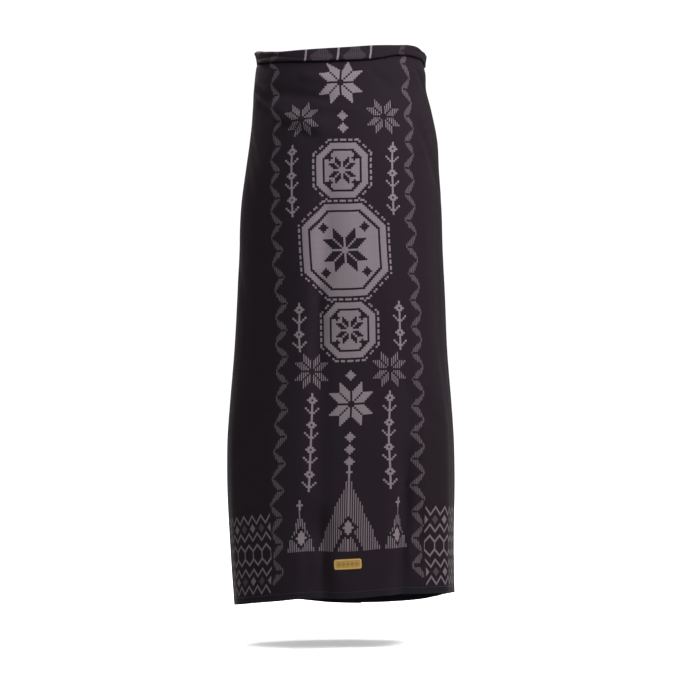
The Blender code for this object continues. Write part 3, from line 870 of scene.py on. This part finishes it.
# ---- the pieces
LABEL_WIDTH = 0.0462
LABEL_HEIGHT = 0.0172
LABEL_CORNER = 0.0036
LABEL_THICK = 0.0008
LABEL_MIDDLE = (0.0086, -0.8697)
LABEL_TILT = 0.048
LABEL_LINE_INSET = 0.0016
LABEL_LINE_WIDTH = 0.001
LABEL_LINE_RISE = (0.00022, 0.0007)  # how high and how wide it is as a form
LABEL_EDGE_SINKS = (0.0002, 0.0006)
LABEL_MARKS = 5
LABEL_MARK_REPEAT = 0.0074
LABEL_MARK = (0.003, 0.0034)
LABEL_MARK_HOLE = (0.0014, 0.0017)
LABEL_COLUMNS = 56
LABEL_ROWS = 22
STITCH_LENGTH = 0.0026
STITCH_REPEAT = 0.0036
STITCH_FORM = ((0.0, 0.35), (0.22, 1.0), (0.78, 1.0), (1.0, 0.35))  # share of its length, thickness there
HEM_STITCH_ABOVE = 0.0108
HEM_STITCH_WIDTH = 0.0005
LABEL_STITCH_WIDTH = 0.0004
LABEL_STITCH_INSET = 0.0007
SHARP_EDGE = radians(62)

# Places across the cloth, and the share of the bake map's width that each is at
BAKE_ENDS = (-1.2, -0.62, -0.135, 0.135, 0.6, 1.2)
BAKE_SHARES = (0.0, 0.01, 0.275, 0.725, 0.99, 1.0)
BAKE_HEIGHT = 1.06


def grid_mesh(name, points, uv_maps, wrap):
    """A mesh of a grid of points; each UV map has a value for each point, and one column more if it wraps."""
    rows, columns = points.shape[:2]
    i, j = np.meshgrid(np.arange(rows - 1), np.arange(columns if wrap else columns - 1), indexing="ij")
    i, j = i.ravel(), j.ravel()
    corners = ((i, j), (i, j + 1), (i + 1, j + 1), (i + 1, j))
    faces = np.stack([a * columns + b % columns for a, b in corners], axis=1)
    mesh = bpy.data.meshes.new(name)
    mesh.from_pydata(points.reshape(-1, 3).tolist(), [], faces.tolist())
    for uv_name, values in uv_maps.items():
        layer = mesh.uv_layers.new(name=uv_name)
        loops = np.stack([values[a, b] for a, b in corners], axis=1).reshape(-1, 2)
        layer.data.foreach_set("uv", loops.astype(np.float32).ravel())
    return mesh


def add_object(data, material=None):
    if material:
        data.materials.append(material)
    obj = bpy.data.objects.new(data.name, data)
    bpy.context.scene.collection.objects.link(obj)
    return obj


def thicken(obj, thickness, group="", thinnest=0.0):
    """Makes a wall of a sheet, thinner outside the vertex group, and shades it smooth but for real edges."""
    wall = obj.modifiers.new("wall", "SOLIDIFY")
    wall.thickness = thickness
    wall.offset = 0.0
    wall.vertex_group = group
    wall.thickness_vertex_group = thinnest / thickness
    made = bpy.data.meshes.new_from_object(obj.evaluated_get(bpy.context.evaluated_depsgraph_get()))
    obj.modifiers.clear()
    obj.data = made
    made.shade_smooth()
    made.set_sharp_from_angle(angle=SHARP_EDGE)
    return obj


def make_cloth(material):
    points = cloth_grid()
    closed = np.concatenate([points, points[:, :1]], axis=1)
    u, v = running_length(closed, 1), running_length(closed, 0)
    middle_height = np.minimum.accumulate(closed[::-1, BACK_MIDDLE, 2])[::-1]
    height, drift = (column[::-1] for column in zip(*CENTRE_DRIFT))
    u = u - u[:, BACK_MIDDLE:BACK_MIDDLE + 1] - np.interp(middle_height, height, drift)[:, None]
    height, left, right = (column[::-1] for column in zip(*GATHERED))
    u *= np.where(u < 0, *(np.interp(middle_height, height, part)[:, None] for part in (left, right)))
    v = v * (1.0 + np.interp(u, *zip(*SLANT)))
    baked = np.stack([np.interp(u, BAKE_ENDS, BAKE_SHARES), v / BAKE_HEIGHT], axis=-1)
    maps = {"cloth": np.stack([u, v], axis=-1), "OFBake": baked}
    obj = add_object(grid_mesh("sarong_cloth", points, maps, wrap=True), material)
    foot = obj.vertex_groups.new(name="turned up")
    columns = points.shape[1]
    for row, share in enumerate(wall_shares()):
        thick = 1.0 - float(ease((share * CLOTH_HEIGHT - HEM_BAND) / HEM_EASE + 0.5))
        if thick > 0.0:
            foot.add(list(range(row * columns, (row + 1) * columns)), thick, "REPLACE")
    return thicken(obj, HEM_THICK, foot.name, WALL), points, v


def on_label(x, y, lift):
    """Points outside the back's innermost layer by lift, x and y from the label's middle."""
    angle = np.linspace(-0.6, 0.6, 400)
    line = folded_section(angle, np.full_like(angle, LABEL_MIDDLE[1]))
    length = running_length(line)
    length -= np.interp(0.0, angle, length)
    across = np.interp(LABEL_MIDDLE[0] + x, length, angle)
    return place(across, LABEL_MIDDLE[1] + y + LABEL_TILT * x, lift)


def make_label(material):
    straight = LABEL_WIDTH / 2 - LABEL_CORNER
    bends = np.linspace(0.0, pi / 2, 7)
    right = [(straight + LABEL_CORNER * sin(a), LABEL_CORNER * (1 - cos(a))) for a in bends]
    middle = [(x, 0.0) for x in np.linspace(-straight, straight, LABEL_COLUMNS + 1)[1:-1]]
    columns = np.array([(-x, cut) for x, cut in reversed(right)] + middle + right)
    level = np.linspace(-1.0, 1.0, LABEL_ROWS + 1)[:, None]
    x = np.broadcast_to(columns[:, 0], (LABEL_ROWS + 1, len(columns)))
    y = level * (LABEL_HEIGHT / 2 - columns[:, 1])
    edge = np.minimum(LABEL_WIDTH / 2 - np.abs(x), LABEL_HEIGHT / 2 - columns[:, 1] - np.abs(y))
    rise, wide = LABEL_LINE_RISE
    sinks, near = LABEL_EDGE_SINKS
    form = rise * np.exp(-(((edge - LABEL_LINE_INSET) / wide) ** 2)) - sinks * ease(1.0 - edge / near)
    points = on_label(x, y, WALL / 2 + SEAM_GAP + LABEL_THICK / 2 + form)
    flat = np.stack([x, y], axis=-1)
    maps = {"label": flat, "OFBake": flat / LABEL_WIDTH * (0.9, 2.0) + 0.5}
    return thicken(add_object(grid_mesh("label_gold", points, maps, wrap=False), material), LABEL_THICK)


def stitches(name, starts, ends, outs, width, material):
    """One joined mesh of small stitches, each a four-sided spindle that dips into the cloth at its ends."""
    along = ends - starts
    side = unit(np.cross(along, outs))
    rings = []
    for share, thick in STITCH_FORM:
        middle = starts + along * share + outs * (width * (0.6 * thick - 0.25))
        for angle in np.arange(4) * pi / 2:
            rings.append(middle + (side * cos(angle) + outs * sin(angle) * 0.7) * width / 2 * thick)
    points = np.stack(rings, axis=1).reshape(-1, 3)
    faces = []
    for first in range(0, len(points), 16):
        for low in range(first, first + 12, 4):
            faces += [(low + k, low + (k + 1) % 4, low + 4 + (k + 1) % 4, low + 4 + k) for k in range(4)]
        faces += [(first + 3, first + 2, first + 1, first), tuple(range(first + 12, first + 16))]
    mesh = bpy.data.meshes.new(name)
    mesh.from_pydata(points.tolist(), [], faces)
    mesh.shade_smooth()
    return add_object(mesh, material)


def along_line(line, outs):
    """Starts, ends and outward directions of the stitches along a line of points."""
    length = running_length(line)
    first = np.arange(0.0, length[-1] - STITCH_LENGTH, STITCH_REPEAT)

    def read(values, at):
        return np.stack([np.interp(at, length, v) for v in values.T], axis=-1)

    out = unit(read(outs, first + STITCH_LENGTH / 2))
    return read(line, first), read(line, first + STITCH_LENGTH), out


def make_hem_stitches(points, v, material):
    """The seam that holds the turned-up foot, on what shows of the outer layer."""
    shown = slice(OUTER_START, 2 * BACK_MIDDLE - OUTER_START)
    row = int(np.argmin(np.abs(v[:, BACK_MIDDLE] - HEM_STITCH_ABOVE)))
    line, above = points[row, shown], points[row + 1, shown]
    outs = unit(np.cross(np.gradient(line, axis=0), above - line))
    line = line + outs * HEM_THICK / 2
    return stitches("hem_stitches", *along_line(line, outs), HEM_STITCH_WIDTH, material)


def make_label_stitches(material):
    """Small stitches over the label's edge, one after the other round it."""
    straight, up = LABEL_WIDTH / 2 - LABEL_CORNER, LABEL_HEIGHT / 2 - LABEL_CORNER
    corner = LABEL_CORNER - LABEL_STITCH_INSET
    turns = np.linspace(0.0, 2 * pi, 65)
    x = np.sign(np.cos(turns)) * straight + corner * np.cos(turns)
    y = np.sign(np.sin(turns)) * up + corner * np.sin(turns)
    length = running_length(np.stack([x, y], axis=-1))
    even = np.linspace(0.0, length[-1], 240)
    x, y = np.interp(even, length, x), np.interp(even, length, y)
    lift = WALL / 2 + SEAM_GAP + LABEL_THICK
    line = on_label(x, y, lift)
    outs = on_label(x, y, lift + 0.001) - line
    return stitches("label_stitches", *along_line(line, outs), LABEL_STITCH_WIDTH, material)


# ---- camera, light and stage
CAMERA_AT = (-0.0014, -5.0, -0.492)
CAMERA_LENS = 152.3
FLOOR_HEIGHT = -1.02
FLOOR_RADIUS = 14.0

LIGHTS = table(
    "name place size power colour",
    ("key, from the right", (2.2, -1.4, 1.3), 1.0, 168.0, (1.0, 0.915, 0.98)),
    ("fill, by the camera", (-0.4, -2.5, 1.85), 1.4, 98.0, (0.87, 0.95, 1.0)),
    ("rim, from the left and behind", (-0.36, 0.37, 0.34), 0.3, 7.5, (1.0, 0.9, 0.92)),
    ("low fill, from the left", (-0.62, -0.5, -0.95), 0.4, 0.3, (1.0, 0.97, 1.0)),
    ("key for the front", (-0.3, 3.1, 1.9), 0.9, 110.0, (1.0, 0.98, 0.96)),
)
LIGHTS_AIM = (0.0, 0.0, -0.5)
AMBIENT_LOW = 0.47  # the even light from the horizon, and what it gains overhead
AMBIENT_RISE = 0.7
AMBIENT_LEAN = 0.45  # how much more of it comes from the right than from the left
AMBIENT_LEFT = (1.0, 0.96, 0.9)  # its colour from the left
BACKDROP = 1.05  # how bright it looks to the camera
FLOOR_GLOW = 0.35  # lightens the shadow on the floor


def make_camera():
    data = bpy.data.cameras.new("photo_angle")
    data.lens = CAMERA_LENS
    data.sensor_width = 36.0
    data.clip_end = 60.0
    camera = add_object(data)
    camera.location = CAMERA_AT
    camera.rotation_euler = (pi / 2, 0.0, 0.0)
    bpy.context.scene.camera = camera


def make_lights():
    for made in LIGHTS:
        data = bpy.data.lights.new(made.name, "AREA")
        data.shape = "DISK"
        data.size = made.size
        data.energy = made.power
        data.color = made.colour
        light = add_object(data)
        light.location = made.place
        aim = mathutils.Vector(LIGHTS_AIM) - light.location
        light.rotation_euler = aim.to_track_quat("-Z", "Y").to_euler()


def make_world():
    """White to look at, and a soft light that comes more from above and from the right."""
    world = bpy.data.worlds.new("studio")
    bpy.context.scene.world = world
    make = Nodes(world, "Background")
    seen = make.field("ShaderNodeLightPath", "Is Camera Ray", {})
    x, z = make.parts(make.add("ShaderNodeTexCoord", {}).outputs["Generated"], "XZ")
    light = ((z | 0.0) * AMBIENT_RISE + AMBIENT_LOW) * (x * AMBIENT_LEAN + 1.0)
    make.finish({
        "Strength": light * ~seen + seen * BACKDROP,
        "Color": make.mix(x * 0.5 + 0.5 | seen, AMBIENT_LEFT, WHITE),
    })


def make_floor():
    mesh = bpy.data.meshes.new("floor")
    bm = bmesh.new()
    bmesh.ops.create_circle(bm, cap_ends=True, segments=96, radius=FLOOR_RADIUS)
    bm.to_mesh(mesh)
    bm.free()
    material = Nodes(bpy.data.materials.new("pale_floor")).finish({
        "Base Color": darker(WHITE, 0.93),
        "Roughness": 0.9,
        "Emission Color": WHITE,
        "Emission Strength": FLOOR_GLOW,
    })
    material.cycles.emission_sampling = "NONE"
    floor = add_object(mesh, material)
    floor.location.z = FLOOR_HEIGHT
    floor.visible_diffuse = False  # as over a dark ground: no light comes up from the floor


make_camera()
make_lights()
make_world()
make_floor()

cloth, cloth_points, cloth_v = make_cloth(cloth_material())
label = make_label(label_material())
hem_seam = make_hem_stitches(cloth_points, cloth_v, thread_material("black_thread", BLACK_THREAD))
label_seam = make_label_stitches(thread_material("gold_thread", GOLD_THREAD))

for piece, slot in ((cloth, "cloth"), (label, "label"), (hem_seam, "cloth"), (label_seam, "label")):
    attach(piece, "root")
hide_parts("cloth_tube", "waist_roll")
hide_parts("label")

bpy.context.scene.view_settings.view_transform = "Standard"
